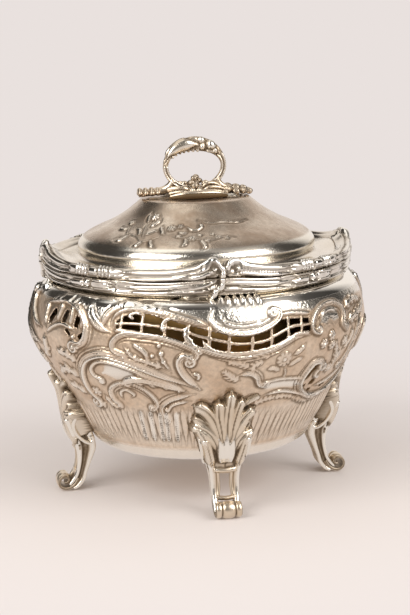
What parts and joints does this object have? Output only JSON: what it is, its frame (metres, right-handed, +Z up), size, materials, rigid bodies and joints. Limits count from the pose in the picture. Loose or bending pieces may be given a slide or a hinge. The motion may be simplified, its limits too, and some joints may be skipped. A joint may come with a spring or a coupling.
{
  "type": "covered sugar bowl",
  "caption": "Round footed silver bowl with a pierced band over a lift-out gilt liner, scroll feet, and a stepped domed lid with a ring handle.",
  "frame": {"origin": "on the table, below the middle of the bowl", "axes": "+Z up through the handle; the four feet stand on the diagonals of X and Y, and the front foot on +X -Y"},
  "size_m": [0.1482, 0.1482, 0.1552],
  "materials": {
    "chased_silver": "satin silver with a warm tarnish, chased and stippled",
    "polished_silver": "bright polished silver",
    "cast_silver": "burnished cast silver, darkened in the hollows",
    "gilt": "dull fire gilding",
    "nut_brass": "turned, satin"
  },
  "bodies": {
    "bowl": {"bowl_shell": "chased_silver", "bowl_border": "polished_silver", "foot_front": "cast_silver", "foot_right": "cast_silver", "foot_back": "cast_silver", "foot_left": "cast_silver"},
    "liner": {"liner": "gilt"},
    "lid": {"lid_dome": "chased_silver", "lid_border": "polished_silver", "lid_bezel": "polished_silver", "handle_mount": "cast_silver", "handle_ring": "cast_silver", "handle_stud": "cast_silver", "handle_washer": "cast_silver", "handle_nut": "nut_brass"}
  },
  "joints": [
    {"name": "liner_lift", "type": "slide", "parent": "bowl", "child": "liner", "axis": [0, 0, 1], "range_m": [0, 0.11]},
    {"name": "lid_lift", "type": "slide", "parent": "liner", "child": "lid", "axis": [0, 0, 1], "range_m": [0, 0.09]}
  ]
}
